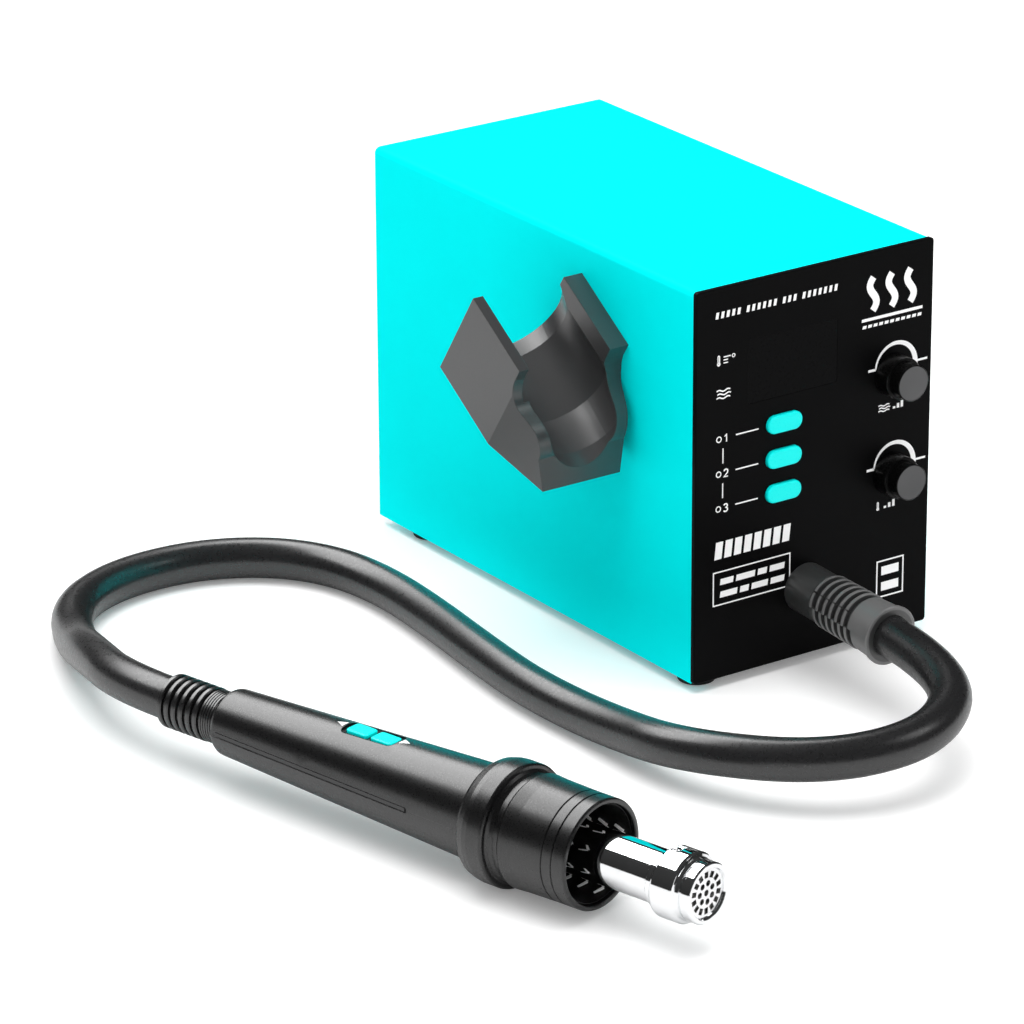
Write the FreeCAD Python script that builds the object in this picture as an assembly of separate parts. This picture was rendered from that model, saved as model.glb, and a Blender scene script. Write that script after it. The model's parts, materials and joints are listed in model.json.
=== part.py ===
import FreeCAD, Part
import math, os
from FreeCAD import Vector as V, Placement, Rotation

# Hot air rework station: cabinet with a side cradle, air hose and handpiece.
# Millimetres, +Z up, +X to the right of someone facing the front panel, front panel toward -Y.
# Origin: centre of the cabinet footprint, on the bench.

os.makedirs("parts", exist_ok=True)

# ---------------------------------------------------------------- driving dimensions
W = 131.0            # cabinet width (X)
D = 252.6            # cabinet depth (Y), front panel face to the back edge of the cover
H = 184.0            # cabinet height without feet
FOOT_H = 4.5         # cabinet bottom above the bench
SHEET = 1.2          # steel sheet
BEND_R = 3.0         # outer bend radius of the cover
PANEL_T = 2.5        # black front panel
ZB = FOOT_H
ZT = FOOT_H + H
XL, XR = -W / 2, W / 2
YF, YB = -D / 2, D / 2

KNOB_D = 17.0        # front barrel of each knob
KNOB_SKIRT_D = 19.6  # wider rear part
KNOB_SKIRT_L = 8.2
KNOB_L = 14.8
KNOB_GAP = 0.6
AIR_KNOB = (43.2, 128.6)     # x, z on the panel
TEMP_KNOB = (43.3, 81.4)
BTN_L, BTN_W, BTN_PROUD, BTN_TRAVEL = 19.0, 8.5, 1.8, 0.8
BTN_X = -17.4
BTN_Z = (119.0, 102.6, 86.3)
WIN = (-37.0, 12.0, 131.5, 161.5)   # display window x0, x1, z0, z1

OUTLET = (-4.1, 37.4)        # hose outlet on the panel, x, z
BOOT_DROOP = 2.5             # degrees, station hose boot points slightly down
BOOT_L = 62.0
HOSE_D = 19.2
HOSE_IN = 5.0                # depth the hose sits in the end of each boot

FOOT_R = 9.5
FEET = ((-53.5, -112.0), (53.5, -112.0), (-53.5, 100.0), (53.5, 100.0))

CR_TILT = 33.63              # cradle axis below horizontal, degrees
CR_W = 58.6                  # how far the cradle stands out from the cabinet
CR_H = 48.0
CR_L = 46.0                  # full-width part
CR_END = 78.4                # tip of the spout
CR_NECK_W = 41.8             # width of the spout at its tip
CR_ORG = (-14.0, 133.9)      # Y, Z of the rear lower corner of the cradle

HP_ANG = -75.83              # direction of the handpiece axis about Z (0 = +X)
HP_P0 = V(-229.8, -285.76, 27.0)    # centre of the shroud's front rim
S_REAR = -207.0              # rear end of the grip
S_BOOT = -241.5              # rear end of the handle boot

# centre line of the air hose, from the station boot to the handle boot
HOSE = [
    (-4.1, -183.3, 34.9),
    (-4.1, -235.5, 32.6),
    (-42.8, -271.2, 27.4),
    (-94.7, -262.9, 23.9),
    (-131.7, -209.7, 19.8),
    (-131.5, -150.5, 11.2),
    (-134.2, -99.7, 10.5),
    (-129.4, -51.3, 10.4),
    (-123.1, -5.6, 9.8),
    (-120.2, 36.3, 9.8),
    (-125.2, 72.6, 9.8),
    (-144.3, 100.5, 9.9),
    (-177.4, 117.6, 9.8),
    (-218.2, 117.3, 9.8),
    (-252.8, 98.5, 10.1),
    (-271.8, 63.5, 11.1),
    (-286.4, 23.3, 22.0),
    (-296.4, -21.8, 27.0),
    (-287.7, -56.42, 27.0),
]

# ---------------------------------------------------------------- helpers
DOC = {}

def save(name, shape):
    if isinstance(shape, (list, tuple)):
        shape = Part.makeCompound(list(shape))
    bad = [s for s in shape.Solids if not s.isValid() or s.Volume <= 0]
    if bad or not shape.Solids:
        print("BAD", name, len(bad), len(shape.Solids))
    if len(shape.Solids) == 1:
        shape = shape.Solids[0]
    shape.exportStep("parts/%s.step" % name)
    DOC[name] = shape
    return shape

def box(x0, x1, y0, y1, z0, z1):
    return Part.makeBox(x1 - x0, y1 - y0, z1 - z0, V(x0, y0, z0))

def cyl(p, d, r, l):
    return Part.makeCylinder(r, l, V(*p), V(*d))

def cone(p, d, r1, r2, l):
    return Part.makeCone(r1, r2, l, V(*p), V(*d))

def fuse(*s):
    r = s[0]
    if len(s) > 1:
        r = s[0].multiFuse(list(s[1:]))
    return r.removeSplitter()

def cut(a, *b):
    return a.cut(list(b)) if len(b) > 1 else a.cut(b[0])

def poly(pts, d):
    w = Part.makePolygon([V(*p) for p in pts] + [V(*pts[0])])
    return Part.Face(w).extrude(V(*d))

def rrect_y(x0, x1, z0, z1, y0, y1, r):
    b = box(x0, x1, y0, y1, z0, z1)
    e = [k for k in b.Edges if abs(k.Vertexes[0].Point.y - k.Vertexes[-1].Point.y) > 1e-6]
    return b.makeFillet(r, e)

def rrect_z(x0, x1, y0, y1, z0, z1, r):
    b = box(x0, x1, y0, y1, z0, z1)
    e = [k for k in b.Edges if abs(k.Vertexes[0].Point.z - k.Vertexes[-1].Point.z) > 1e-6]
    return b.makeFillet(r, e)

def pill_y(cx, cz, l, w, y0, y1, r=None):
    r = w / 2 - 0.02 if r is None else r
    return rrect_y(cx - l / 2, cx + l / 2, cz - w / 2, cz + w / 2, y0, y1, r)

def rev_x(pts):
    """solid of revolution about X from (s, r) points, closed on the axis when r is 0"""
    w = Part.makePolygon([V(s, r, 0) for s, r in pts] + [V(pts[0][0], pts[0][1], 0)])
    return Part.Face(w).revolve(V(0, 0, 0), V(1, 0, 0), 360)

def hexnut(p, d, af, l, bore):
    n = Part.makePolygon([V(af / math.sqrt(3) * math.cos(math.radians(60 * i + 30)),
                            af / math.sqrt(3) * math.sin(math.radians(60 * i + 30)), 0) for i in range(7)])
    s = Part.Face(n).extrude(V(0, 0, l))
    if bore:
        s = s.cut(Part.makeCylinder(bore, l + 2, V(0, 0, -1)))
    s.Placement = Placement(V(*p), Rotation(V(0, 0, 1), V(*d)))
    return s

def screw(p, d, head_r, head_h, r, l, slot=True):
    """pan head screw: p is the seat of the head, d points from head to tip"""
    s = Part.makeCylinder(r, l, V(0, 0, 0)).fuse(Part.makeCylinder(head_r, head_h, V(0, 0, -head_h)))
    e = [k for k in s.Edges if abs(k.BoundBox.ZMin + head_h) < 1e-6 and abs(k.BoundBox.ZMax + head_h) < 1e-6]
    s = s.makeFillet(min(head_r, head_h) * 0.35, e)
    if slot:
        for a in (0, 90):
            c = Part.makeBox(head_r * 1.1, 0.16 * head_r * 2, head_h * 0.6, V(-head_r * 0.55, -0.16 * head_r, -head_h - 0.01))
            c.rotate(V(0, 0, 0), V(0, 0, 1), a)
            s = s.cut(c)
    s.Placement = Placement(V(*p), Rotation(V(0, 0, 1), V(*d)))
    return s

# ---------------------------------------------------------------- cabinet cover
yc0, yc1 = YF + PANEL_T, YB
o = box(XL, XR, yc0, yc1, ZB, ZT)
e = [k for k in o.Edges if abs(k.BoundBox.ZMin - ZT) < 1e-6 and k.BoundBox.YLength > 100]
o = o.makeFillet(BEND_R, e)
i = box(XL + SHEET, XR - SHEET, yc0 - 1, yc1 + 1, ZB - 1, ZT - SHEET)
e = [k for k in i.Edges if abs(k.BoundBox.ZMin - (ZT - SHEET)) < 1e-6 and k.BoundBox.YLength > 100]
i = i.makeFillet(BEND_R - SHEET, e)
cover = o.cut(i)
# inward flanges along the bottom, and a stiffening lip at the back of the roof
for sx in (-1, 1):
    x0 = sx * (W / 2 - 0.6)
    fl = box(min(x0, x0 - sx * 10.4), max(x0, x0 - sx * 10.4), yc0, yc1 - 3, ZB, ZB + SHEET)
    for fy in (-88, 34, 78):
        fl = fl.cut(cyl((sx * 58.0, fy, ZB - 1), (0, 0, 1), 1.7, 4))
    cover = cover.fuse(fl)
for fx, fy in FEET:
    cover = cover.cut(cyl((fx, fy, ZB - 1), (0, 0, 1), 3.2, 2.5))
# cradle screw holes
ca, sa = math.cos(math.radians(CR_TILT)), math.sin(math.radians(CR_TILT))
def cr_pt(a, n):
    """cradle coordinates (along the axis, up across it) to Y, Z"""
    return (CR_ORG[0] - a * ca - n * sa, CR_ORG[1] - a * sa + n * ca)
CR_SCREWS = [cr_pt(12.0, 2.9), cr_pt(34.0, 44.0)]
for (cy, cz) in CR_SCREWS:
    cover = cover.cut(cyl((XL - 1, cy, cz), (1, 0, 0), 2.2, 4))
save("cabinet_cover", cover.removeSplitter())

# ---------------------------------------------------------------- base tray with intake slots
ty0, ty1 = YF + PANEL_T + SHEET + 0.2, YB - 3.0
tz = ZB + SHEET + 0.05
tray = box(-62.6, 62.6, ty0, ty1, tz, tz + SHEET)
for sx in (-1, 1):
    tray = tray.fuse(box(min(sx * 62.6, sx * 61.4), max(sx * 62.6, sx * 61.4), ty0 + 12, ty1 - 12, tz, tz + 13))
tray = tray.fuse(box(-60, 60, ty0, ty0 + SHEET, tz, tz + 11))
BLW = (21.0, -8.0)   # blower axis
for k in range(-4, 5):
    hw = math.sqrt(max(23.0 ** 2 - (k * 5.2) ** 2, 9))
    tray = tray.cut(box(BLW[0] - hw, BLW[0] + hw, BLW[1] + k * 5.2 - 1.4, BLW[1] + k * 5.2 + 1.4, tz - 1, tz + 3))
for sx in (-1, 1):
    for fy in (-88, 34, 78):
        tray = tray.cut(cyl((sx * 58.0, fy, tz - 1), (0, 0, 1), 1.55, 4))
for fx, fy in FEET:
    tray = tray.cut(cyl((fx, fy, tz - 1), (0, 0, 1), 1.9, 4))
save("base_tray", tray.removeSplitter())

case = []
for sx in (-1, 1):
    for fy in (-88, 34, 78):
        case.append(screw((sx * 58.0, fy, ZB), (0, 0, 1), 2.6, 1.7, 1.45, 7.0))

# ---------------------------------------------------------------- feet
feet, fscr = [], []
for fx, fy in FEET:
    f = Part.makeCone(FOOT_R - 1.0, FOOT_R, FOOT_H, V(fx, fy, 0))
    e = [k for k in f.Edges if abs(k.BoundBox.ZMax) < 1e-6]
    f = f.makeFillet(0.9, e)
    f = f.cut(cyl((fx, fy, -1), (0, 0, 1), 4.3, 3.4)).cut(cyl((fx, fy, 2), (0, 0, 1), 1.75, 4))
    feet.append(f)
    fscr.append(screw((fx, fy, 2.4), (0, 0, 1), 3.2, 1.7, 1.6, 9.0))
save("feet", feet)
save("bottom_screws", case + fscr)

# ---------------------------------------------------------------- front chassis plate
cy0, cy1 = YF + PANEL_T, YF + PANEL_T + SHEET
ch = box(-63.9, 63.9, cy0, cy1, ZB + SHEET + 0.1, ZT - SHEET - 0.15)
e = [k for k in ch.Edges if k.BoundBox.YLength > 1 and k.BoundBox.ZMin > ZT - 5]
ch = ch.makeFillet(2.6, e)
for sx in (-1, 1):
    ch = ch.fuse(box(min(sx * 63.9, sx * 62.7), max(sx * 63.9, sx * 62.7), cy0, cy0 + 9.5, ZB + 22, ZT - 10))
for bz in BTN_Z:
    ch = ch.cut(pill_y(BTN_X, bz, BTN_L + 1.2, BTN_W + 1.2, cy0 - 1, cy1 + 1))
for kx, kz in (AIR_KNOB, TEMP_KNOB):
    ch = ch.cut(cyl((kx, cy0 - 1, kz), (0, 1, 0), 4.6, 4))
ch = ch.cut(box(WIN[0] + 2, WIN[1] - 2, cy0 - 1, cy1 + 1, WIN[2] + 2, WIN[3] - 2))
ch = ch.cut(cyl((OUTLET[0], cy0 - 1, OUTLET[1]), (0, 1, 0), 9.0, 4))
PCB_SCREWS = ((-55.0, 169.0), (56.0, 169.0), (-55.0, 74.0), (56.0, 71.0))
save("front_chassis", ch.removeSplitter())

# ---------------------------------------------------------------- black front panel
fp = rrect_y(XL, XR, ZB, ZT, YF, YF + PANEL_T, 1.6)
e = [k for k in fp.Edges if abs(k.BoundBox.YMin - YF) < 1e-6 and abs(k.BoundBox.YMax - YF) < 1e-6]
fp = fp.makeChamfer(0.35, e)
for bz in BTN_Z:
    fp = fp.cut(pill_y(BTN_X, bz, BTN_L + 0.6, BTN_W + 0.6, YF - 1, YF + PANEL_T + 1))
for kx, kz in (AIR_KNOB, TEMP_KNOB):
    fp = fp.cut(cyl((kx, YF - 1, kz), (0, 1, 0), 6.9, 5))
fp = fp.cut(rrect_y(WIN[0], WIN[1], WIN[2], WIN[3], YF - 1, YF + PANEL_T + 1, 1.5))
fp = fp.cut(cyl((OUTLET[0], YF - 1, OUTLET[1]), (0, 1, 0), 9.2, 5))
save("front_panel", fp)
save("display_window", rrect_y(WIN[0] + 0.05, WIN[1] - 0.05, WIN[2] + 0.05, WIN[3] - 0.05, YF + 0.1, YF + PANEL_T, 1.45))

# ---------------------------------------------------------------- front board, display, switches, potentiometers
pb0, pb1 = YF + 17.7, YF + 19.3          # board
brd = box(-60, 60.5, pb0, pb1, 66, 174)
brd = brd.cut(box(30, 61, pb0 - 1, pb1 + 1, 100, 116))
for sx, sz in PCB_SCREWS:
    brd = brd.cut(cyl((sx, pb0 - 1, sz), (0, 1, 0), 1.7, 4))
st, bs = [], []
for sx, sz in PCB_SCREWS:
    st.append(cyl((sx, cy1, sz), (0, 1, 0), 3.0, pb0 - cy1).cut(cyl((sx, pb0 - 7, sz), (0, 1, 0), 1.55, 8)))
    bs.append(screw((sx, pb1, sz), (0, -1, 0), 2.8, 1.8, 1.5, 6.5))
save("board_screws", bs)
dm = []
for r_, z_ in ((0, 153.6), (1, 139.4)):
    m = box(-33.5, 8.5, YF + 5.5, pb0, z_ - 6.2, z_ + 6.2)
    for k in range(3):
        x_ = -33.5 + 7 + k * 14
        # seven segments of each digit as shallow windows
        for (sx, sz, lx, lz) in ((0, 4.3, 4.6, 0.9), (0, 0, 4.6, 0.9), (0, -4.3, 4.6, 0.9),
                                 (-3.0, 2.15, 0.9, 3.2), (3.0, 2.15, 0.9, 3.2), (-3.0, -2.15, 0.9, 3.2), (3.0, -2.15, 0.9, 3.2)):
            m = m.cut(box(x_ + sx - lx / 2, x_ + sx + lx / 2, YF + 5, YF + 5.8, z_ + sz - lz / 2, z_ + sz + lz / 2))
    dm.append(m)
save("display_modules", dm)
sw = []
for bz in BTN_Z:
    s_ = box(BTN_X - 3, BTN_X + 3, pb0 - 4.6, pb0, bz - 3, bz + 3).fuse(cyl((BTN_X, pb0 - 5.6, bz), (0, 1, 0), 1.7, 2))
    sw.append(s_.removeSplitter())
save("front_board", fuse(brd, *sw))

for k, bz in enumerate(BTN_Z):
    cap = pill_y(BTN_X, bz, BTN_L, BTN_W, YF - BTN_PROUD, YF + 4.0, 4.1)
    e = [q for q in cap.Edges if abs(q.BoundBox.YMin - (YF - BTN_PROUD)) < 1e-6 and abs(q.BoundBox.YMax - (YF - BTN_PROUD)) < 1e-6]
    cap = cap.makeFillet(0.9, e)
    fl = pill_y(BTN_X, bz, BTN_L + 3.4, BTN_W + 3.4, YF + 4.0, YF + 5.2, 5.5)
    stem = cyl((BTN_X, YF + 5.0, bz), (0, 1, 0), 1.8, pb0 - 5.6 - 1.0 - (YF + 5.0))
    save("channel_button_%d" % (k + 1), fuse(cap, fl, stem))

pots, nuts = [], []
for name, (kx, kz) in (("air", AIR_KNOB), ("temp", TEMP_KNOB)):
    b = rrect_y(kx - 8, kx + 8, kz - 8, kz + 8, pb0 - 9.5, pb0, 2.0)
    bush = cyl((kx, YF + 1.2, kz), (0, 1, 0), 4.4, pb0 - 9.0 - (YF + 1.2))
    bore = cyl((kx, YF, kz), (0, 1, 0), 3.05, 14.0)
    pots.append(fuse(b, bush).cut(bore))
    nuts.append(hexnut((kx, cy0, kz), (0, -1, 0), 11.0, 1.9, 4.42))
    sh = cyl((kx, YF - KNOB_GAP - KNOB_L + 3.0, kz), (0, 1, 0), 3.0, KNOB_L - 3.0 + KNOB_GAP + 12.5)
    # D flat on the end inside the knob
    sh = sh.cut(box(kx - 4, kx + 4, YF - KNOB_GAP - KNOB_L, YF - KNOB_GAP - 3.0, kz + 2.4, kz + 4))
    save(name + "_shaft", sh)
    y0 = YF - KNOB_GAP - KNOB_L
    kb = cyl((kx, y0, kz), (0, 1, 0), KNOB_D / 2, KNOB_L)
    e = [q for q in kb.Edges if abs(q.BoundBox.YMin - y0) < 1e-6 and abs(q.BoundBox.YMax - y0) < 1e-6]
    kb = kb.makeChamfer(0.3, e)
    ys = y0 + KNOB_L - KNOB_SKIRT_L
    sk = cyl((kx, ys, kz), (0, 1, 0), KNOB_SKIRT_D / 2, KNOB_SKIRT_L)
    e = [q for q in sk.Edges if abs(q.BoundBox.YMin - ys) < 1e-6 and abs(q.BoundBox.YMax - ys) < 1e-6]
    kb = kb.fuse(sk.makeChamfer(0.45, e)).removeSplitter()
    kb = kb.cut(cyl((kx, y0 - 0.1, kz), (0, 1, 0), KNOB_D / 2 - 0.5, 0.7))
    b_ = cyl((kx, y0 + 3.0, kz), (0, 1, 0), 3.0, KNOB_L)
    b_ = b_.cut(box(kx - 4, kx + 4, y0 + 2, y0 + KNOB_L - 3.0, kz + 2.4, kz + 4))
    kb = kb.cut(b_)
    kb = kb.cut(cyl((kx, YF - KNOB_GAP - 2.0, kz), (0, 1, 0), KNOB_D / 2 - 1.2, 3).cut(cyl((kx, YF - KNOB_GAP - 3.0, kz), (0, 1, 0), 4.2, 5)))
    save(name + "_knob", kb)
    cap = cyl((kx, y0 - 0.0, kz), (0, 1, 0), KNOB_D / 2 - 0.52, 0.6)
    save(name + "_knob_cap", cap)
save("potentiometers", pots + nuts)

# ---------------------------------------------------------------- blower: housing, impeller, motor
bx, by = BLW
z0, z1 = 11.0, 53.0
ho = cyl((bx, by, z0), (0, 0, 1), 37.5, z1 - z0).fuse(box(bx - 37.5, bx - 12.5, by - 58, by, z0, z1)).removeSplitter()
hi = cyl((bx, by, z0 + 2), (0, 0, 1), 35.7, z1 - z0 - 4).fuse(box(bx - 35.7, bx - 14.3, by - 56, by, z0 + 2, z1 - 2)).removeSplitter()
ho = ho.cut(hi)
ho = ho.cut(cyl((bx, by, z0 - 1), (0, 0, 1), 20.0, 4)).cut(cyl((bx, by, z1 - 3), (0, 0, 1), 7.0, 4))
ho = ho.cut(cyl((OUTLET[0], by - 59, OUTLET[1]), (0, 1, 0), 8.6, 4))
for ax, ay in ((bx + 33, by + 33), (bx + 33, by - 33), (bx - 30, by + 35)):
    lug = cyl((ax, ay, tz + SHEET), (0, 0, 1), 5, z0 + 4 - tz - SHEET).fuse(
        poly([(ax - 5, ay, z0), (bx, by, z0), (ax, ay + (5 if ay < by else -5), z0)], (0, 0, 4)))
    ho = ho.fuse(lug.cut(cyl((bx, by, z0 - 5), (0, 0, 1), 36.5, 60)))
# vertical ribs under the outlet
ho = ho.fuse(box(bx - 30, bx - 28, by - 57, by - 40, tz + SHEET, z0 + 1)).removeSplitter()
save("blower_housing", ho)

imp = cyl((bx, by, 22.0), (0, 0, 1), 30.0, 1.6)
hub = cyl((bx, by, 22.0), (0, 0, 1), 8.0, 16.0)
imp = imp.fuse(hub)
NB = 22
blades = []
for k in range(NB):
    a = 2 * math.pi * k / NB
    b = Part.makeBox(1.1, 9.5, 24.5, V(-0.55, 0, 0))
    b.rotate(V(0, 0, 0), V(0, 0, 1), -35)
    b.translate(V(0, 20.5, 23.4))
    b.rotate(V(0, 0, 0), V(0, 0, 1), math.degrees(a))
    b.translate(V(bx, by, 0))
    blades.append(b)
ring = cyl((bx, by, 46.0), (0, 0, 1), 30.0, 1.6).cut(cyl((bx, by, 45.0), (0, 0, 1), 21.5, 4))
imp = imp.multiFuse(blades + [ring]).removeSplitter()
# turn the impeller over so that its open ring faces the intake below
imp.rotate(V(bx, by, 34.8), V(1, 0, 0), 180)
imp = imp.fuse(cyl((bx, by, 40.0), (0, 0, 1), 2.5, 38.5)).removeSplitter()
save("blower_impeller", imp)
mt = cyl((bx, by, z1), (0, 0, 1), 21.0, 30.0)
e = [q for q in mt.Edges if abs(q.BoundBox.ZMin - (z1 + 30)) < 1e-6]
mt = mt.makeFillet(2.0, e)
mt = mt.cut(cyl((bx, by, z1 - 1), (0, 0, 1), 2.56, 27))
for k in range(8):
    a = math.radians(22.5 + 45 * k)
    mt = mt.cut(cyl((bx + 15 * math.cos(a), by + 15 * math.sin(a), z1 + 26), (0, 0, 1), 2.2, 8))
save("blower_motor", mt)

# air duct from the blower to the outlet fitting
yd0, yd1 = by - 58.0, cy1 + 10.0
duct = Part.makeCone(10.6, 9.8, yd0 - yd1, V(OUTLET[0], yd0, OUTLET[1]), V(0, -1, 0))
duct = duct.fuse(cyl((OUTLET[0], yd0, OUTLET[1]), (0, -1, 0), 12.2, 2.0))
duct = duct.cut(Part.makeCone(8.6, 8.6 - 0.001, yd0 - yd1 + 2, V(OUTLET[0], yd0 + 1, OUTLET[1]), V(0, -1, 0)))
save("air_duct", duct.removeSplitter())
fit = cyl((OUTLET[0], YF - 11.0, OUTLET[1]), (0, 1, 0), 8.4, 11.0 + PANEL_T + SHEET + 22.0)
fit = fit.fuse(cyl((OUTLET[0], cy1, OUTLET[1]), (0, 1, 0), 14.0, 3.0))
fit = fit.cut(cyl((OUTLET[0], YF - 12.0, OUTLET[1]), (0, 1, 0), 6.6, 60.0))
save("outlet_fitting", fit.removeSplitter())

# ---------------------------------------------------------------- station hose boot: plain base, six ribs, flared collar
def boot_profile(lead, ribs, rib_p, rib_r0, rib_r1, core, tail, tail_r0, tail_r1, total):
    pts = [(0, 0)] + lead
    s = lead[-1][0]
    for k in range(ribs):
        r = rib_r0 + (rib_r1 - rib_r0) * k / max(1, ribs - 1)
        c = core + (rib_r1 - rib_r0) * k / max(1, ribs - 1)
        pts += [(s, c), (s + 0.25, r - 0.3), (s + 0.55, r), (s + rib_p * 0.36, r), (s + rib_p * 0.36 + 0.3, r - 0.3), (s + rib_p * 0.36 + 0.5, c)]
        s += rib_p
    pts += [(s, core + (rib_r1 - rib_r0)), (s + 0.4, tail_r0), (total - 2.6, tail_r1), (total - 2.2, tail_r1 + 0.6), (total - 0.5, tail_r1 + 0.8), (total, tail_r1 + 0.3), (total, 0)]
    return pts

RIB_P, RIB_S = 4.62, 18.6     # rib pitch, start of the ribs; the lower half-ribs sit half a pitch further on
bt = rev_x(boot_profile([(0, 11.5), (17.6, 11.5), (RIB_S, 11.0)], 6, RIB_P, 12.4, 12.8, 10.2, 0, 12.4, 13.1, BOOT_L))
bt2 = rev_x(boot_profile([(0, 11.5), (17.6, 11.5), (RIB_S + RIB_P / 2, 11.0)], 6, RIB_P, 12.4, 12.8, 10.2, 0, 12.4, 13.1, BOOT_L))
bt = bt.common(box(-5, BOOT_L + 5, -20, 20, 0, 20)).fuse(bt2.common(box(-5, BOOT_L + 5, -20, 20, -20, 0))).removeSplitter()
for ang in (34.0, 146.0):
    n = box(RIB_S + 0.3, RIB_S + 6 * RIB_P - 0.6, -0.35, 0.35, 10.9, 14.0)
    n.rotate(V(0, 0, 0), V(1, 0, 0), ang - 90.0)
    bt = bt.cut(n)
bt = bt.cut(cyl((-1, 0, 0), (1, 0, 0), 8.9, 12.6)).cut(cyl((0, 0, 0), (1, 0, 0), 6.6, BOOT_L + 1))
bt = bt.cut(cyl((BOOT_L - HOSE_IN, 0, 0), (1, 0, 0), HOSE_D / 2 + 0.1, HOSE_IN + 1))
dr = math.radians(BOOT_DROOP)
bdir = V(0, -math.cos(dr), -math.sin(dr))
bt.Placement = Placement(V(OUTLET[0], YF, OUTLET[1]), Rotation(V(1, 0, 0), bdir))
bt = bt.cut(box(-40, 40, YF, YF + 20, 0, 90))
save("station_hose_boot", bt)
tip = V(OUTLET[0], YF, OUTLET[1]) + bdir * BOOT_L
print("station boot tip", tip, "hose start", V(OUTLET[0], YF, OUTLET[1]) + bdir * (BOOT_L - HOSE_IN))

# ---------------------------------------------------------------- cradle
oy, oz = CR_ORG
def yz(a, n, x):
    y, z = cr_pt(a, n)
    return V(x, y, z)
prof = [(0, 0), (CR_L, 0), (CR_END, 4.0), (69.8, 17.0)]
curve = [(69.8, 17.0), (68.4, 22.0), (63.5, 27.2), (56.0, 29.3), (48.5, 31.2), (44.2, 36.0), (42.6, 41.5)]
rest = [(42.6, CR_H), (0, CR_H)]
x0 = XL
edges = []
pp = [yz(a, n, x0) for a, n in prof]
for a_, b_ in zip(pp[:-1], pp[1:]):
    edges.append(Part.LineSegment(a_, b_).toShape())
bs_ = Part.BSplineCurve()
bs_.interpolate([yz(a, n, x0) for a, n in curve])
edges.append(bs_.toShape())
pp = [yz(*curve[-1], x0)] + [yz(a, n, x0) for a, n in rest] + [yz(0, 0, x0)]
for a_, b_ in zip(pp[:-1], pp[1:]):
    edges.append(Part.LineSegment(a_, b_).toShape())
cr = Part.Face(Part.Wire(edges)).extrude(V(-CR_W, 0, 0))
# taper both sides of the spout
tap = (CR_W - CR_NECK_W) / 2
def wedge(xa, sgn):
    pts = [yz(CR_L - 1.0, -20, xa), yz(CR_END + 6, -20, xa), yz(CR_END + 6, -20, xa + sgn * tap * (CR_END + 6 - CR_L + 1.0) / (CR_END - CR_L + 1.0))]
    w = Part.Face(Part.makePolygon(pts + [pts[0]]))
    up = yz(0, 60, xa) - yz(0, 0, xa)
    return w.extrude(up * 1.4)
cr = cr.cut(wedge(x0, -1)).cut(wedge(x0 - CR_W, 1))
# bore: conical lead-in, main bore, reduction, exit
CXc, CNc = 29.3, 28.0
def adir():
    return yz(1, 0, 0) - yz(0, 0, 0)
bore = rev_x([(-2, 0), (-2, 24.9), (0, 24.4), (9, 21.9), (45, 21.9), (66, 18.2), (90, 17.4), (90, 0)])
bore.Placement = Placement(yz(0, CNc, x0 - CXc), Rotation(V(1, 0, 0), adir()))
cr = cr.cut(bore)
# mouth: the straight opening above the bore
mouth = Part.makeBox(60, 43.4, 40, V(-5, 0, 0))
m = [(-5, CNc), (CR_L + 2, CNc), (CR_L + 2, CNc + 40), (-5, CNc + 40)]
mf = Part.Face(Part.makePolygon([yz(a, n, x0 - 10.0) for a, n in m] + [yz(*m[0], x0 - 10.0)]))
cr = cr.cut(mf.extrude(V(-(53.4 - 10.0), 0, 0)))
m = [(CR_L - 8, CNc), (CR_END + 5, CNc), (CR_END + 5, CNc + 40), (CR_L - 8, CNc + 40)]
mf = Part.Face(Part.makePolygon([yz(a, n, x0 - CXc + 18.0) for a, n in m] + [yz(*m[0], x0 - CXc + 18.0)]))
cr = cr.cut(mf.extrude(V(-36.0, 0, 0)))
cr = cr.removeSplitter()
for (cy, cz) in CR_SCREWS:
    cr = cr.cut(cyl((XL + 1, cy, cz), (-1, 0, 0), 1.6, 7 if cz < 140 else 8))
print("cradle solids", len(cr.Solids), "vol", cr.Volume)
save("handpiece_cradle", cr)
save("cradle_screws", [screw((XL + SHEET, cy, cz), (-1, 0, 0), 3.4, 2.2, 1.6, 6.0) for cy, cz in CR_SCREWS])

# ---------------------------------------------------------------- rear panel, inlet, switch
ry0, ry1 = YB - 2.8, YB - 1.6
rp = box(-64.1, 64.1, ry0, ry1, tz + SHEET + 0.05, ZT - SHEET - 0.15)
e = [k for k in rp.Edges if k.BoundBox.YLength > 1 and k.BoundBox.ZMin > ZT - 5]
rp = rp.makeFillet(2.4, e)
for sx in (-1, 1):
    rp = rp.fuse(box(min(sx * 64.1, sx * 62.9), max(sx * 64.1, sx * 62.9), ry0 - 9, ry1, ZB + 24, ZT - 14))
rp = rp.fuse(box(-58, 58, ry0 - 9, ry1, tz + SHEET + 0.05, tz + 2 * SHEET + 0.05))
INL = (30.0, 40.0)
SWI = (-24.0, 40.0)
rp = rp.cut(box(INL[0] - 24.2, INL[0] + 24.2, ry0 - 1, ry1 + 1, INL[1] - 13.7, INL[1] + 13.7))
rp = rp.cut(box(SWI[0] - 10.3, SWI[0] + 10.3, ry0 - 1, ry1 + 1, SWI[1] - 14.3, SWI[1] + 14.3))
for c in range(2):
    for r_ in range(11):
        x_ = -28 + c * 56
        z_ = 84 + r_ * 8.0
        rp = rp.cut(rrect_y(x_ - 20, x_ + 20, z_ - 1.6, z_ + 1.6, ry0 - 1, ry1 + 1, 1.55))
for sx in (-58.5, 58.5):
    for sz in (66.0, 176.5):
        rp = rp.cut(cyl((sx, ry0 - 1, sz), (0, 1, 0), 1.55, 4))
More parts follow.
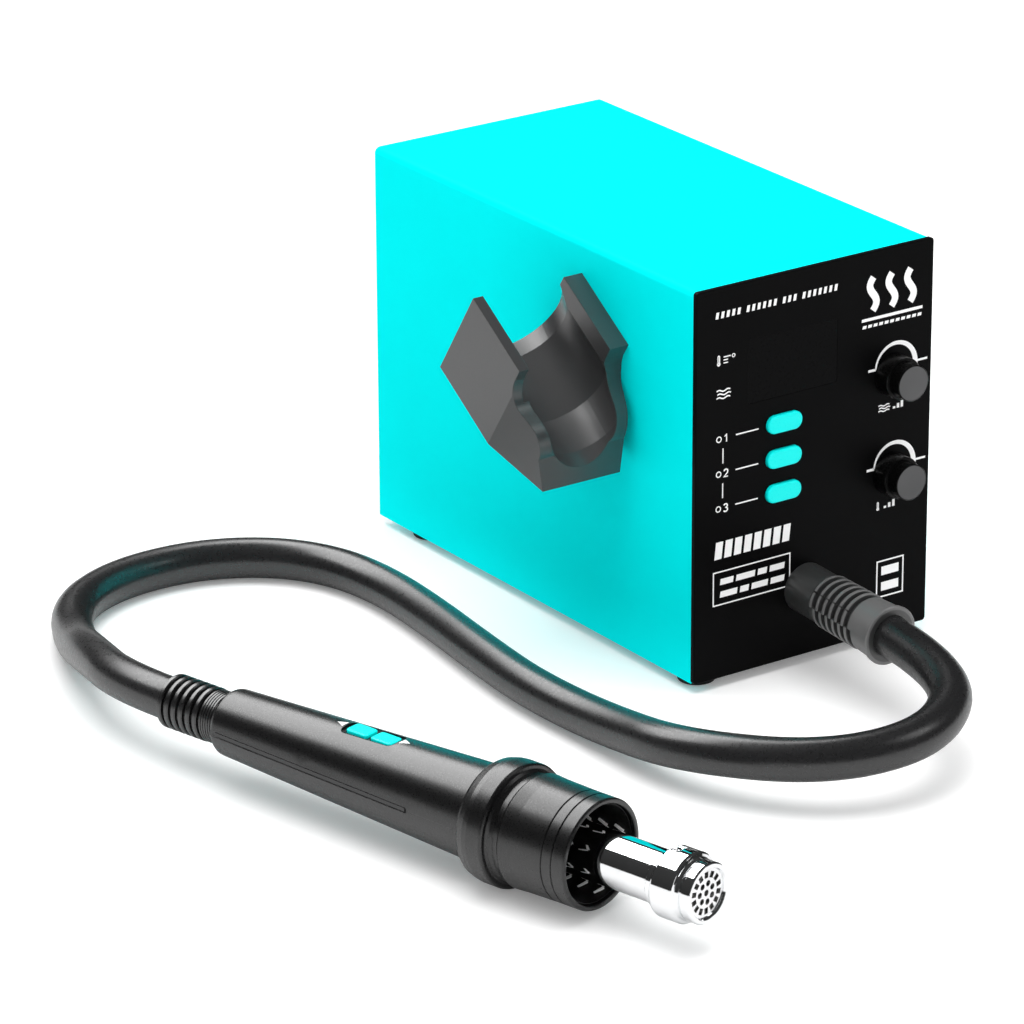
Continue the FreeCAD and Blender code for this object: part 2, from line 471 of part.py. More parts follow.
for sx in (-1, 1):
    rp = rp.cut(cyl((INL[0] + sx * 26.6, ry0 - 1, INL[1]), (0, 1, 0), 1.3, 4))
save("rear_panel", rp.removeSplitter())
rs = []
for sx in (-58.5, 58.5):
    for sz in (66.0, 176.5):
        rs.append(screw((sx, ry1, sz), (0, -1, 0), 2.8, 1.4, 1.5, 6.0))

ib = rrect_y(INL[0] - 29.5, INL[0] + 29.5, INL[1] - 16.0, INL[1] + 16.0, ry1, ry1 + 2.6, 4.0)
ib = ib.fuse(box(INL[0] - 23.9, INL[0] + 23.9, ry1 - 20.0, ry1, INL[1] - 13.4, INL[1] + 13.4))
sock = box(INL[0] - 21.5, INL[0] + 3.5, ry1 - 15.0, ry1 + 4, INL[1] - 8.6, INL[1] + 8.6)
e = [q for q in sock.Edges if q.BoundBox.YLength > 10 and q.BoundBox.ZMin > INL[1]]
sock = sock.makeChamfer(4.0, e)
ib = ib.cut(sock)
ib = ib.cut(box(INL[0] + 7.0, INL[0] + 21.0, ry1 - 17.0, ry1 + 4, INL[1] - 9.6, INL[1] + 9.6))
for sx in (-1, 1):
    ib = ib.cut(cyl((INL[0] + sx * 26.6, ry1 - 1, INL[1]), (0, 1, 0), 1.3, 5))
save("mains_inlet", ib.removeSplitter())
pins = []
for px, pz in ((-16.5, -1.8), (-9.0, 2.6), (-1.5, -1.8)):
    p = box(INL[0] + px - 1.0, INL[0] + px + 1.0, ry1 - 27.0, ry1 - 5.0, INL[1] + pz - 2.0, INL[1] + pz + 2.0)
    pins.append(p)
save("inlet_pins", pins)
ib2 = DOC["mains_inlet"].cut(pins)
save("mains_inlet", ib2)
fd = box(INL[0] + 7.25, INL[0] + 20.75, ry1 - 14.0, ry1 + 2.4, INL[1] - 9.35, INL[1] + 9.35)
fd = fd.cut(box(INL[0] + 9.0, INL[0] + 19.0, ry1 + 1.4, ry1 + 3, INL[1] + 5.6, INL[1] + 7.8))
fd = fd.cut(box(INL[0] + 8.6, INL[0] + 19.4, ry1 - 15.0, ry1 - 2.0, INL[1] - 8.0, INL[1] + 10))
save("fuse_drawer", fd.removeSplitter())
rs += [screw((INL[0] + sx * 26.6, ry1 + 2.6, INL[1]), (0, -1, 0), 2.4, 1.2, 1.25, 6.0) for sx in (-1, 1)]
save("rear_screws", rs)

sb = rrect_y(SWI[0] - 12.2, SWI[0] + 12.2, SWI[1] - 16.2, SWI[1] + 16.2, ry1, ry1 + 2.0, 1.5)
sb = sb.fuse(box(SWI[0] - 10.1, SWI[0] + 10.1, ry1 - 19.0, ry1, SWI[1] - 14.1, SWI[1] + 14.1))
sb = sb.cut(box(SWI[0] - 8.7, SWI[0] + 8.7, ry1 - 9.5, ry1 + 3, SWI[1] - 12.3, SWI[1] + 12.3))
for tx in (-5.0, 5.0):
    sb = sb.fuse(box(SWI[0] + tx - 0.4, SWI[0] + tx + 0.4, ry1 - 26.0, ry1 - 18.5, SWI[1] - 2.4, SWI[1] + 2.4))
# pivot pins on the side walls
PIV = (ry1 - 3.4, SWI[1])
for sx in (-1, 1):
    sb = sb.fuse(cyl((SWI[0] + sx * 8.9, PIV[0], PIV[1]), (-sx, 0, 0), 1.5, 2.0))
save("switch_housing", sb.removeSplitter())
ang = 9.0
rk = poly([(SWI[0] - 8.3, PIV[0] - 2.6, SWI[1] - 6.0), (SWI[0] - 8.3, PIV[0] - 2.6, SWI[1] + 6.0),
           (SWI[0] - 8.3, PIV[0] + 2.2, SWI[1] + 11.4), (SWI[0] - 8.3, PIV[0] + 5.4, SWI[1] + 11.2),
           (SWI[0] - 8.3, PIV[0] + 4.3, SWI[1]), (SWI[0] - 8.3, PIV[0] + 5.4, SWI[1] - 11.2),
           (SWI[0] - 8.3, PIV[0] + 2.2, SWI[1] - 11.4)], (16.6, 0, 0))
rk = rk.cut(cyl((SWI[0] - 9, PIV[0], PIV[1]), (1, 0, 0), 1.56, 18))
rk.rotate(V(SWI[0], PIV[0], PIV[1]), V(1, 0, 0), ang)
save("power_rocker", rk)

# ---------------------------------------------------------------- transformer and power board
tx0, tx1, tyy0, tyy1 = -52.0, 0.0, 52.0, 96.0
lam = box(tx0, tx1, tyy0 + 10, tyy1 - 10, tz + SHEET, tz + SHEET + 46)
lam = lam.cut(box(tx0 + 9, tx0 + 17, tyy0, tyy1, tz + 10, tz + 39)).cut(box(tx1 - 17, tx1 - 9, tyy0, tyy1, tz + 10, tz + 39))
save("transformer_core", lam)
win = rrect_z(tx0 + 9.2, tx1 - 9.2, tyy0, tyy1, tz + 10.2, tz + 38.8, 4)
win = win.cut(box(tx0 + 17, tx1 - 17, tyy0 + 10, tyy1 - 10, tz + 10, tz + 39))
save("transformer_winding", win)
pbz = tz + SHEET + 7.0
pw = box(6, 60, 34, 108, pbz, pbz + 1.6)
save("power_board", pw)
ps = []
for ax, ay in ((10, 38), (56, 38), (10, 104), (56, 104)):
    ps.append(cyl((ax, ay, tz + SHEET), (0, 0, 1), 3.0, 7.0))
save("board_standoffs", st + ps)
pp_ = [cyl((16, 48, pbz + 1.6), (0, 0, 1), 6.0, 16.0), cyl((31, 48, pbz + 1.6), (0, 0, 1), 5.0, 12.0),
       box(40, 58, 42, 56, pbz + 1.6, pbz + 15.0), box(12, 30, 62, 76, pbz + 1.6, pbz + 9.5),
       box(36, 56, 66, 70, pbz + 1.6, pbz + 9.0), box(36, 56, 74, 77, pbz + 1.6, pbz + 9.0)]
save("power_components", pp_)

# ================================================================ handpiece (built along +X, s = 0 at the shroud rim)
HPP = Placement(HP_P0, Rotation(V(0, 0, 1), HP_ANG))
def hp(name, shape):
    if isinstance(shape, (list, tuple)):
        shape = Part.makeCompound(list(shape))
    shape = shape.copy()
    shape.Placement = HPP.multiply(shape.Placement)
    return save(name, shape)

S_GF = -57.0         # front end of the grip shells
def grip_r(s):
    return 15.0 + (s + 205.0) * (21.0 - 15.0) / (205.0 - 62.0)
gout = [(S_REAR, 0), (S_REAR, 13.2), (S_REAR + 0.6, 14.3), (S_REAR + 1.8, 14.9), (S_REAR + 3.0, grip_r(S_REAR + 3.0)), (S_GF, grip_r(S_GF)), (S_GF, 0)]
gin = [(S_REAR + 2.6, 0), (S_REAR + 2.6, 12.6), (-66.0, grip_r(-66) - 2.1), (S_GF + 1, grip_r(S_GF) - 2.1), (S_GF + 1, 0)]
gs = rev_x(gout).cut(rev_x(gin))
gs = gs.cut(cyl((S_REAR - 1, 0, 0), (1, 0, 0), 9.0, 6))
# side grooves on the parting line
for sy in (-1, 1):
    tool = None
    a0, a1 = S_REAR - 2, -90.0
    g = box(a0, a1, -1.35, 1.35, 0, 1)
    # follow the cone: a thin wedge that cuts 0.7 deep along the whole length
    p0, p1 = V(a0, sy * (grip_r(a0) - 0.7), 0), V(a1, sy * (grip_r(a1) - 0.7), 0)
    f = Part.Face(Part.makePolygon([V(a0, sy * (grip_r(a0) - 0.7), -1.3), V(a1, sy * (grip_r(a1) - 0.7), -1.3),
                                    V(a1, sy * 30, -1.3), V(a0, sy * 30, -1.3), V(a0, sy * (grip_r(a0) - 0.7), -1.3)]))
    tool = f.extrude(V(0, 0, 2.6)).fuse(cyl((a1, sy * (grip_r(a1) - 0.7), 0), (0, sy, 0), 1.3, 12))
    gs = gs.cut(tool)
# recess for the two buttons on the upper side
BZ = 16.55           # floor of the recess
B_S = (-131.3, -117.6)
rec = rrect_z(-139.6, -109.6, -5.9, 5.9, BZ, 30, 3.2)
gs = gs.cut(rec)
holes = []
for s_ in B_S:
    holes.append(rrect_z(s_ - 6.1, s_ + 6.1, -4.45, 4.45, 5, 30, 1.8))
gs = gs.cut(holes)
up = gs.common(box(-300, 10, -40, 40, 0.0, 40)).removeSplitter()
lo = gs.common(box(-300, 10, -40, 40, -40, 0.0)).removeSplitter()
lo = lo.cut([cyl((s_, 0, -40), (0, 0, 1), 2.6, 25.5) for s_ in (-186.0, -88.0)])
# screw bosses inside
for s_ in (-186.0, -88.0):
    r_ = grip_r(s_)
    lo = lo.fuse(cyl((s_, 0, -r_ + 1.0), (0, 0, 1), 4.2, r_ - 1.3).cut(cyl((s_, 0, -40), (0, 0, 1), 2.6, 40 - r_ + 6)).cut(cyl((s_, 0, -40), (0, 0, 1), 1.7, 60)))
    up = up.fuse(cyl((s_, 0, 0.2), (0, 0, 1), 3.6, r_ - 1.4).cut(cyl((s_, 0, -1), (0, 0, 1), 1.25, 9)))
hp("grip_shell_upper", up.removeSplitter())
hp("grip_shell_lower", lo.removeSplitter())
hp("grip_screws", [screw((s_, 0, -40 + (40 - grip_r(s_) + 6)), (0, 0, 1), 2.45, 1.8, 1.2, 13.5) for s_ in (-186.0, -88.0)])
inl = []
for sy in (-1, 1):
    a0, a1 = S_REAR + 4, -90.0
    f = Part.Face(Part.makePolygon([V(a0, sy * (grip_r(a0) - 0.7), -0.9), V(a1, sy * (grip_r(a1) - 0.7), -0.9),
                                    V(a1, sy * (grip_r(a1) - 0.15), -0.9), V(a0, sy * (grip_r(a0) - 0.15), -0.9), V(a0, sy * (grip_r(a0) - 0.7), -0.9)]))
    inl.append(f.extrude(V(0, 0, 1.8)))
hp("grip_inlays", inl)

# buttons, board and switches in the grip
for nm, s_ in (("handle_button_rear", B_S[0]), ("handle_button_front", B_S[1])):
    c = rrect_z(s_ - 5.85, s_ + 5.85, -4.2, 4.2, 13.6, BZ + 1.5, 1.7)
    e = [q for q in c.Edges if abs(q.BoundBox.ZMin - (BZ + 1.5)) < 1e-6]
    c = c.makeFillet(0.7, e)
    c = c.fuse(rrect_z(s_ - 6.6, s_ + 6.6, -5.2, 5.2, 12.2, 13.6, 1.2)).fuse(cyl((s_, 0, 9.6), (0, 0, 1), 1.5, 3)).removeSplitter()
    hp(nm, c)
hsw = [box(-158, -100, -8, 8, 2.6, 4.2)]
for s_ in B_S:
    hsw.append(box(s_ - 3, s_ + 3, -3, 3, 4.2, 7.6).fuse(cyl((s_, 0, 7.5), (0, 0, 1), 1.6, 1.2)).removeSplitter())
hp("handle_board", fuse(*hsw))

# collar ring
col = rev_x([(S_GF, 17.0), (S_GF, 25.0), (-55.6, 25.9), (-52.5, 26.7), (-50.0, 27.0), (-43.2, 27.0), (-42.5, 26.8), (-42.0, 26.1), (-41.7, 24.8), (-40.8, 23.6), (-39.2, 23.0), (-36.5, 23.0), (-36.5, 17.0)])
hp("collar_ring", col)
# shroud: cup around the hot tube, two thin ring grooves, vent slots near its floor
sh = rev_x([(-36.5, 17.0), (-36.5, 23.0), (-35.8, 23.6), (-35.3, 24.4), (-34.6, 24.8), (-28.0, 24.4),
            (-12.4, 24.0), (-12.4, 23.6), (-11.7, 23.6), (-11.7, 24.0), (-7.1, 24.0), (-7.1, 23.6), (-6.4, 23.6), (-6.4, 24.0),
            (-0.8, 24.0), (-0.2, 23.7), (0, 23.2), (0, 22.2), (-0.4, 21.7), (-30.0, 21.4), (-30.0, 17.0)])
hp("shroud", sh)
# air guide: disc at the bottom of the cup and a thin liner with five rows of V-shaped ribs
lv = rev_x([(-30.0, 12.2), (-30.0, 21.3), (-2.0, 21.3), (-2.0, 20.85), (-28.0, 20.85), (-28.0, 12.2)])
ribs = []
for sc in (-22.4, -13.6, -4.9):
    for k in range(5):
        for sg in (-1, 1):
            b = Part.makeBox(4.6, 0.95, 1.2, V(-5.2, -0.475, 19.75))
            b.rotate(V(0, 0, 0), V(0, 0, 1), 45.0 * sg - 22.0)
            b.translate(V(sc, 0, 0))
            b.rotate(V(0, 0, 0), V(1, 0, 0), 72.0 * k - 67.0 - 90.0)
            ribs.append(b)
lv = lv.multiFuse(ribs).removeSplitter()
hp("shroud_louvres", lv)

# heater tube (mirror finish), sleeve ring, tip ring, perforated plate
tube = rev_x([(-62.0, 10.7), (-62.0, 11.5), (37.0, 11.5), (37.0, 10.7)])
hp("heater_tube", tube)
slv = rev_x([(33.0, 11.55), (33.0, 12.4), (37.0, 12.4), (37.4, 15.1), (38.0, 15.3), (47.3, 15.3), (48.3, 14.6), (48.8, 13.4), (50.6, 13.0), (50.6, 10.7), (37.0, 10.7), (37.0, 11.55)])
slv = slv.cut(box(30, 42.5, -3.0, 3.0, 11.52, 20))
hp("nozzle_sleeve", slv)
tipr = rev_x([(50.6, 10.7), (50.6, 12.4), (51.6, 12.4), (51.9, 13.2), (55.4, 13.2), (56.2, 12.6), (56.2, 11.2), (55.2, 10.5), (53.0, 10.5), (53.0, 10.7)])
hp("nozzle_tip_ring", tipr)
pl = cyl((53.6, 0, 0), (1, 0, 0), 10.5, 1.2)
hl = [cyl((53, 0, 0), (1, 0, 0), 1.35, 3)]
for k in range(7):
    a = 2 * math.pi * k / 7 + 0.4
    hl.append(cyl((53, 4.1 * math.cos(a), 4.1 * math.sin(a)), (1, 0, 0), 1.3, 3))
for k in range(14):
    b = Part.makeBox(3, 2.25, 2.7, V(53, -1.125, 6.5))
    b.rotate(V(0, 0, 0), V(1, 0, 0), 360.0 * k / 14)
    hl.append(b)
hp("perforated_plate", pl.cut(hl))
core = cyl((-50, 0, 0), (1, 0, 0), 9.2, 84)
hol = [cyl((-51, 0, 0), (1, 0, 0), 1.4, 90)]
for k in range(8):
    a = math.radians(45 * k)
    hol.append(cyl((-51, 5.8 * math.cos(a), 5.8 * math.sin(a)), (1, 0, 0), 1.7, 90))
hp("heater_core", core.cut(hol))
hp("thermocouple", cyl((-80, 0, 0), (1, 0, 0), 0.75, 118.0))
hd = rev_x([(-72.0, 1.6), (-72.0, 16.5), (-62.0, 16.5), (-62.0, 10.6), (-50.0, 10.6), (-50.0, 1.6)])
hd = hd.cut([cyl((-73, 6.4 * math.cos(k * 1.0472), 6.4 * math.sin(k * 1.0472)), (1, 0, 0), 1.9, 30) for k in range(6)])
hp("heater_support", hd)
# handle boot: six ribs and a finely ribbed neck
pr = boot_profile([(0, 10.2), (0.6, 11.0)], 6, 4.4, 11.9, 11.9, 9.9, 0, 11.6, 11.6, 33.0)
pts = [(0, 0), (0, 10.6), (0.5, 11.3)]
s_ = 0.5
for k in range(6):
    pts += [(s_, 11.6), (s_ + 0.5, 12.1), (s_ + 2.1, 12.1), (s_ + 2.6, 11.6), (s_ + 2.7, 10.3), (s_ + 4.1, 10.3)]
    s_ += 4.2
for k in range(5):
    pts += [(s_, 11.8), (s_ + 0.9, 11.8), (s_ + 1.0, 11.35), (s_ + 1.35, 11.35)]
    s_ += 1.4
pts += [(s_, 11.8), (S_REAR - S_BOOT - 0.05, 11.8), (S_REAR - S_BOOT - 0.05, 0)]
hb = rev_x(pts)
hb = hb.fuse(cyl((S_REAR - S_BOOT - 1, 0, 0), (1, 0, 0), 8.9, 8.0)).fuse(cyl((S_REAR - S_BOOT + 2.7, 0, 0), (1, 0, 0), 11.5, 4.0))
hb = hb.cut(cyl((-1, 0, 0), (1, 0, 0), 6.6, 60)).cut(cyl((-1, 0, 0), (1, 0, 0), HOSE_D / 2 + 0.1, HOSE_IN + 1))
hb.translate(V(S_BOOT, 0, 0))
hp("handle_hose_boot", hb.removeSplitter())
print("hose end", HPP.multVec(V(S_BOOT + HOSE_IN, 0, 0)), "boot rear", HPP.multVec(V(S_BOOT, 0, 0)), "dir", HPP.multVec(V(1, 0, 0)) - HP_P0)

# ================================================================ air hose: straight runs joined by tangent arcs
def hose_tube(points, dia):
    P = [V(*p) for p in points]
    edges, last, radii, length = [], P[0], [], 0.0
    for k in range(1, len(P) - 1):
        a, b, c = P[k - 1], P[k], P[k + 1]
        u, w = (b - a), (c - b)
        la, lb = u.Length, w.Length
        u, w = u * (1 / la), w * (1 / lb)
        turn = u.getAngle(w)
        t = 0.45 * min(la, lb)
        r = t / math.tan(turn / 2)
        radii.append(r)
        p, q = b - u * t, b + w * t
        bis = (w - u)
        bis = bis * (1 / bis.Length)
        cen = b + bis * (r / math.cos(turn / 2))
        mid = cen - bis * r
        edges.append(Part.LineSegment(last, p).toShape())
        edges.append(Part.Arc(p, mid, q).toShape())
        length += (p - last).Length + r * turn
        last = q
    edges.append(Part.LineSegment(last, P[-1]).toShape())
    length += (P[-1] - last).Length
    w = Part.Wire(edges)
    c = Part.Wire([Part.Circle(P[0], P[1] - P[0], dia / 2).toShape()])
    s = w.makePipeShell([c], True, False, 2)
    if s.Volume < 0:
        s.reverse()
    area = math.pi * dia * dia / 4
    print("hose radii", [round(x, 1) for x in radii])
    print("hose runs", [round((P[k + 1] - P[k]).Length, 1) for k in range(len(P) - 1)])
    print("hose turns", [round(math.degrees((P[k] - P[k - 1]).getAngle(P[k + 1] - P[k])), 1) for k in range(1, len(P) - 1)])
    print("hose length", round(length, 1), "volume ratio", round(s.Volume / (area * length), 4), "valid", s.isValid(), "zmin", round(s.BoundBox.ZMin, 2))
    return s
save("air_hose", hose_tube(HOSE, HOSE_D))

allb = Part.makeCompound(list(DOC.values())).BoundBox
print("nodes", len(DOC), "box", [round(v, 1) for v in (allb.XMin, allb.XMax, allb.YMin, allb.YMax, allb.ZMin, allb.ZMax)])
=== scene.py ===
import json
import math

import bmesh
import bpy
from mathutils import Matrix, Vector


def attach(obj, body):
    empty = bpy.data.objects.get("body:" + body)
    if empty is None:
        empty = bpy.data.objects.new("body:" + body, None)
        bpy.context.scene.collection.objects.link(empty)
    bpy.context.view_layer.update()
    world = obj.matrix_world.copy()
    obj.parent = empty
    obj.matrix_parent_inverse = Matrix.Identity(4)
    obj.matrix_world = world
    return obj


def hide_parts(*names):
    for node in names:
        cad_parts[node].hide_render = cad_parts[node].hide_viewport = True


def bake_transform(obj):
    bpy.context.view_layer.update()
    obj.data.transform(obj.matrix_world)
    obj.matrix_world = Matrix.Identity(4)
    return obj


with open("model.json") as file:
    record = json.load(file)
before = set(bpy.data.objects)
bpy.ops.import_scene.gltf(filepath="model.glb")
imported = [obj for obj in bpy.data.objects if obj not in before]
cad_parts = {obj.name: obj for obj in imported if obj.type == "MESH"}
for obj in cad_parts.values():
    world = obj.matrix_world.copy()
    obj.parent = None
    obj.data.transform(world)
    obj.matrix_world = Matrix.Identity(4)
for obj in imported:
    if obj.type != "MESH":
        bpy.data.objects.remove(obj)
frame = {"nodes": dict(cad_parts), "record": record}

nodes = frame["nodes"]
bpy.context.view_layer.update()
scene = bpy.context.scene
scene.view_settings.view_transform = "Standard"
MM = 0.001

# ------------------------------------------------------------------ camera
cam_data = bpy.data.cameras.new("camera")
cam_data.lens = 197.692
cam_data.sensor_width = 36.0
cam_data.clip_start, cam_data.clip_end = 0.05, 60.0
cam = bpy.data.objects.new("camera", cam_data)
scene.collection.objects.link(cam)
RIGHT = (0.8220361544775694, -0.5694183022913388, -0.0043997440128937)
UP = (0.21315230146266853, 0.3005324593414746, 0.92964850199596)
BACK = (-0.5280366058455581, -0.765142495158787, 0.3684213688011167)
EYE = (-1.4329653390335026, -1.9664526751624636, 0.995696226525529)
cam.matrix_world = Matrix((
    (RIGHT[0], UP[0], BACK[0], EYE[0]),
    (RIGHT[1], UP[1], BACK[1], EYE[1]),
    (RIGHT[2], UP[2], BACK[2], EYE[2]),
    (0, 0, 0, 1)))
scene.camera = cam

# ------------------------------------------------------------------ air hose
HOSE = [
    (-0.0041, -0.1833, 0.0349),
    (-0.0041, -0.2355, 0.0326),
    (-0.0428, -0.2712, 0.0274),
    (-0.0947, -0.2629, 0.0239),
    (-0.1317, -0.2097, 0.0198),
    (-0.1315, -0.1505, 0.0112),
    (-0.1342, -0.0997, 0.0105),
    (-0.1294, -0.0513, 0.0104),
    (-0.1231, -0.0056, 0.0098),
    (-0.1202, 0.0363, 0.0098),
    (-0.1252, 0.0726, 0.0098),
    (-0.1443, 0.1005, 0.0099),
    (-0.1774, 0.1176, 0.0098),
    (-0.2182, 0.1173, 0.0098),
    (-0.2528, 0.0985, 0.0101),
    (-0.2718, 0.0635, 0.0111),
    (-0.2864, 0.0233, 0.0220),
    (-0.2964, -0.0218, 0.0270),
    (-0.2877, -0.05642, 0.0270),
]
hose_data = bpy.data.curves.new("air_hose_line", "CURVE")
hose_data.dimensions = "3D"
spline = hose_data.splines.new("NURBS")
spline.points.add(len(HOSE) - 1)
for p, co in zip(spline.points, HOSE):
    p.co = (*co, 1.0)
    p.radius = 0.0096
spline.order_u = 3
spline.use_endpoint_u = True
spline.resolution_u = 20
hose_data.bevel_depth = 1.0
hose_data.bevel_resolution = 10
hose_data.use_fill_caps = True
hose = bpy.data.objects.new("air_hose_rubber", hose_data)
scene.collection.objects.link(hose)
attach(hose, "station")
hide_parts("air_hose")

# ------------------------------------------------------------------ materials
class Nodes:
    def __init__(self, name):
        self.m = bpy.data.materials.new(name)
        self.m.use_nodes = True
        self.t = self.m.node_tree
        self.t.nodes.clear()
        self.out = self.t.nodes.new("ShaderNodeOutputMaterial")
        self.b = self.t.nodes.new("ShaderNodeBsdfPrincipled")
        self.t.links.new(self.b.outputs["BSDF"], self.out.inputs["Surface"])
        self.co = self.t.nodes.new("ShaderNodeTexCoord").outputs["Object"]

    def set(self, **kw):
        for k, v in kw.items():
            self.b.inputs[k.replace("_", " ")].default_value = v

    def link(self, a, b):
        self.t.links.new(a, b)

    def noise(self, scale, detail=4.0, rough=0.5, src=None, vec=None):
        n = self.t.nodes.new("ShaderNodeTexNoise")
        n.inputs["Scale"].default_value = scale
        n.inputs["Detail"].default_value = detail
        n.inputs["Roughness"].default_value = rough
        if vec is not None:
            mp = self.t.nodes.new("ShaderNodeMapping")
            mp.inputs["Scale"].default_value = vec
            self.link(self.co, mp.inputs["Vector"])
            self.link(mp.outputs["Vector"], n.inputs["Vector"])
        else:
            self.link(src or self.co, n.inputs["Vector"])
        return n.outputs["Fac"]

    def ramp(self, fac, a, b, p0=0.3, p1=0.7):
        r = self.t.nodes.new("ShaderNodeValToRGB")
        e = r.color_ramp.elements
        e[0].position, e[1].position = p0, p1
        e[0].color, e[1].color = (*a, 1), (*b, 1)
        self.link(fac, r.inputs["Fac"])
        return r.outputs["Color"]

    def span(self, fac, lo, hi, f0=0.3, f1=0.7):
        r = self.t.nodes.new("ShaderNodeMapRange")
        r.inputs["From Min"].default_value = f0
        r.inputs["From Max"].default_value = f1
        r.inputs["To Min"].default_value = lo
        r.inputs["To Max"].default_value = hi
        self.link(fac, r.inputs["Value"])
        return r.outputs["Result"]

    def bevel(self, radius):
        n = self.t.nodes.new("ShaderNodeBevel")
        n.samples = 4
        n.inputs["Radius"].default_value = radius
        return n.outputs["Normal"]

    def bump(self, height, strength, distance, normal=None):
        n = self.t.nodes.new("ShaderNodeBump")
        n.inputs["Strength"].default_value = strength
        n.inputs["Distance"].default_value = distance
        self.link(height, n.inputs["Height"])
        if normal is not None:
            self.link(normal, n.inputs["Normal"])
        self.link(n.outputs["Normal"], self.b.inputs["Normal"])
        return n.outputs["Normal"]


def mix(a, b, t):
    return tuple(x + (y - x) * t for x, y in zip(a, b))


def plastic(name, col, rough, spec=0.5, grain=1400.0, bump=0.15, dist=0.00004, vary=0.12, edge=0.0, coat=0.0, metal=0.0):
    k = Nodes(name)
    big = k.noise(18.0, 3.0)
    fine = k.noise(grain, 3.0, 0.6)
    dark = tuple(max(0.0, c * (1 - vary)) for c in col)
    lite = tuple(min(1.0, c * (1 + vary)) for c in col)
    k.link(k.ramp(big, dark, lite), k.b.inputs["Base Color"])
    k.link(k.span(fine, max(0.02, rough - 0.05), min(1.0, rough + 0.05)), k.b.inputs["Roughness"])
    k.set(Metallic=metal)
    k.b.inputs["Specular IOR Level"].default_value = spec
    if coat:
        k.b.inputs["Coat Weight"].default_value = coat
        k.b.inputs["Coat Roughness"].default_value = 0.12
    k.bump(fine, bump, dist, k.bevel(edge) if edge else None)
    return k.m


def brushed(name, col, rough, stretch=(40.0, 900.0, 40.0), bump=0.2):
    k = Nodes(name)
    streak = k.noise(1.0, 4.0, 0.6, vec=stretch)
    k.link(k.ramp(streak, mix(col, (0, 0, 0), 0.18), mix(col, (1, 1, 1), 0.12)), k.b.inputs["Base Color"])
    k.link(k.span(streak, rough - 0.06, rough + 0.08), k.b.inputs["Roughness"])
    k.set(Metallic=1.0)
    k.bump(streak, bump, 0.00003)
    return k.m


